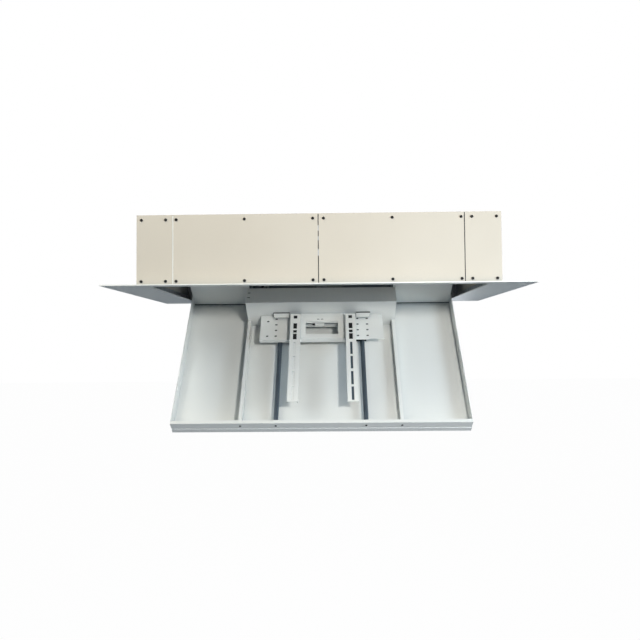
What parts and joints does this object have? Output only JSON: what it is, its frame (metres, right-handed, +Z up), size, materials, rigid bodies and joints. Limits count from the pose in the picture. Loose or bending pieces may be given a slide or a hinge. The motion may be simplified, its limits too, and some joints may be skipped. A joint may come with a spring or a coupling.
{
  "type": "motorized tv ceiling mount",
  "caption": "Motorised ceiling mount for a flat television: a sheet-metal housing with a ceiling flange, a geared drop-down tray, and a sliding bracket with slotted arms.",
  "frame": {"origin": "centre of the top face of the housing roof, which hangs from the ceiling structure", "axes": "+Z up, +X to the right as seen from the room side, -Y towards the room side where the tray's free end is; the tray's hinge runs along X at the rear"},
  "size_m": [1.3, 0.784, 0.6894],
  "materials": {
    "cream_enamel": "satin powder coat",
    "white_enamel": "satin powder coat",
    "zinc_steel": "zinc plated",
    "gear_steel": "machined",
    "slate_rod": "oiled, dark",
    "cast_alloy": "cast, blasted",
    "motor_enamel": "semi-gloss paint",
    "bronze": "sintered bronze",
    "black_screw": "black oxide",
    "black_plastic": "fine texture"
  },
  "bodies": {
    "housing": {"roof_plate": "cream_enamel", "hanger_plates": "zinc_steel", "end_wall_left": "cream_enamel", "end_wall_right": "cream_enamel", "front_panel_end_left": "cream_enamel", "front_panel_left": "cream_enamel", "front_panel_right": "cream_enamel", "front_panel_end_right": "cream_enamel", "rear_panel_left": "cream_enamel", "rear_panel_right": "cream_enamel", "top_rails": "zinc_steel", "base_rails": "zinc_steel", "corner_posts": "zinc_steel", "seam_straps": "zinc_steel", "ceiling_flange": "white_enamel", "panel_screws": "black_screw", "pedestal_left": "zinc_steel", "pedestal_right": "zinc_steel", "bush_left": "bronze", "bush_right": "bronze", "motor_bracket": "zinc_steel", "gearbox_casing": "cast_alloy", "gearbox_lid": "cast_alloy", "gearbox_screws": "black_screw", "motor_body": "motor_enamel", "motor_cap": "black_plastic", "limit_switches": "black_plastic", "control_box": "black_plastic", "control_box_lid": "black_plastic", "power_inlet": "black_plastic"},
    "flap": {"hinge_shaft": "gear_steel", "shaft_collars": "gear_steel", "gear_sector": "gear_steel", "flap_tray": "white_enamel", "outer_skin": "white_enamel", "hinge_wall_left": "white_enamel", "hinge_wall_right": "white_enamel", "spine_channel": "white_enamel", "spine_side_left": "white_enamel", "spine_side_right": "white_enamel", "spine_head": "white_enamel", "guide_rod_left": "slate_rod", "guide_rod_right": "slate_rod", "rod_blocks": "zinc_steel", "rod_saddles": "white_enamel", "tray_screws": "black_screw"},
    "carriage": {"carriage_plate": "white_enamel", "carriage_box": "white_enamel", "slide_blocks": "black_plastic", "slide_bushes": "bronze", "cross_beam": "white_enamel", "stop_tabs": "white_enamel", "clamp_bracket": "white_enamel", "arm_left": "white_enamel", "arm_right": "white_enamel", "arm_inserts": "black_plastic", "arm_bolts": "zinc_steel"},
    "pinion": {"drive_pinion": "gear_steel", "output_shaft": "gear_steel"},
    "knob": {"clamp_knob": "black_plastic"}
  },
  "joints": [
    {"name": "flap_hinge", "type": "hinge", "parent": "housing", "child": "flap", "pos_m": [0, 0.264, -0.202], "axis": [1, 0, 0], "range_deg": [-52, 38]},
    {"name": "pinion_spin", "type": "hinge", "parent": "housing", "child": "pinion", "pos_m": [-0.23, 0.24529, -0.11397], "axis": [1, 0, 0], "range_deg": [-153, 209]},
    {"name": "carriage_slide", "type": "slide", "parent": "flap", "child": "carriage", "axis": [0, -0.6157, -0.788], "range_m": [0, 0.03]},
    {"name": "clamp_turn", "type": "hinge", "parent": "carriage", "child": "knob", "pos_m": [-0.022, 0.10491, -0.31628], "axis": [1, 0, 0], "range_deg": [0, 360]}
  ],
  "couplings": [
    {"joint": "pinion_spin", "follows": "flap_hinge", "ratio": -4}
  ]
}
